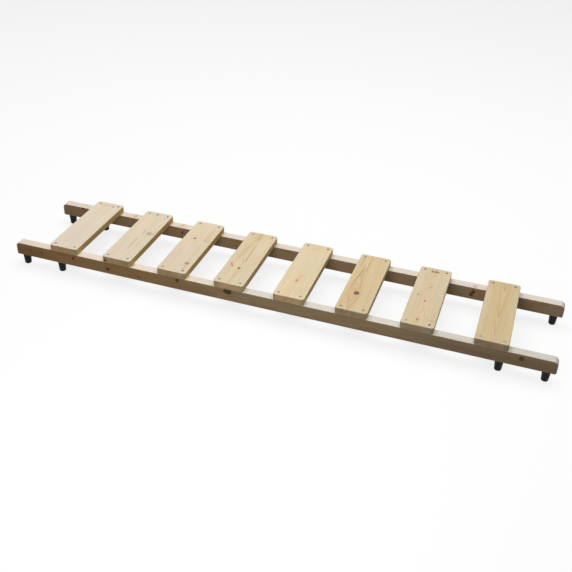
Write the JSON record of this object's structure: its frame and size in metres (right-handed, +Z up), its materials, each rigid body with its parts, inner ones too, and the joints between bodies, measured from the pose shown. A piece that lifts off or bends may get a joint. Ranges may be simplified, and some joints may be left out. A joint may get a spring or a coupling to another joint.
{
  "type": "gymnastics ladder",
  "caption": "Child's wooden gymnastics ladder: long timber rails with flat planks screwed across them, on short tapered rubber feet set in pairs to hook over a trestle.",
  "frame": {"origin": "on the floor plane under the feet, below the middle of the whole ladder", "axes": "+X along the rails, from the left end in the picture to the right end, +Y across them towards the rear rail, +Z up"},
  "size_m": [1.68, 0.31, 0.099],
  "materials": {
    "rail_pine": "planed, oiled pine, satin, pale with fine straight grain and small knots",
    "plank_pine": "planed, oiled pine, satin, pale cream to light yellow with grain and knots",
    "foot_rubber": "matte black moulded rubber",
    "zinc_steel": "zinc-plated steel, dull"
  },
  "bodies": {
    "root": {"rail_front": "rail_pine", "rail_rear": "rail_pine", "plank_1": "plank_pine", "plank_1_screws": "zinc_steel", "plank_2": "plank_pine", "plank_2_screws": "zinc_steel", "plank_3": "plank_pine", "plank_3_screws": "zinc_steel", "plank_4": "plank_pine", "plank_4_screws": "zinc_steel", "plank_5": "plank_pine", "plank_5_screws": "zinc_steel", "plank_6": "plank_pine", "plank_6_screws": "zinc_steel", "plank_7": "plank_pine", "plank_7_screws": "zinc_steel", "plank_8": "plank_pine", "plank_8_screws": "zinc_steel", "foot_front_left_outer": "foot_rubber", "foot_washer_front_left_outer": "zinc_steel", "foot_screw_front_left_outer": "zinc_steel", "foot_front_left_inner": "foot_rubber", "foot_washer_front_left_inner": "zinc_steel", "foot_screw_front_left_inner": "zinc_steel", "foot_front_right_inner": "foot_rubber", "foot_washer_front_right_inner": "zinc_steel", "foot_screw_front_right_inner": "zinc_steel", "foot_front_right_outer": "foot_rubber", "foot_washer_front_right_outer": "zinc_steel", "foot_screw_front_right_outer": "zinc_steel", "foot_rear_left_outer": "foot_rubber", "foot_washer_rear_left_outer": "zinc_steel", "foot_screw_rear_left_outer": "zinc_steel", "foot_rear_left_inner": "foot_rubber", "foot_washer_rear_left_inner": "zinc_steel", "foot_screw_rear_left_inner": "zinc_steel", "foot_rear_right_inner": "foot_rubber", "foot_washer_rear_right_inner": "zinc_steel", "foot_screw_rear_right_inner": "zinc_steel", "foot_rear_right_outer": "foot_rubber", "foot_washer_rear_right_outer": "zinc_steel", "foot_screw_rear_right_outer": "zinc_steel"}
  },
  "joints": []
}
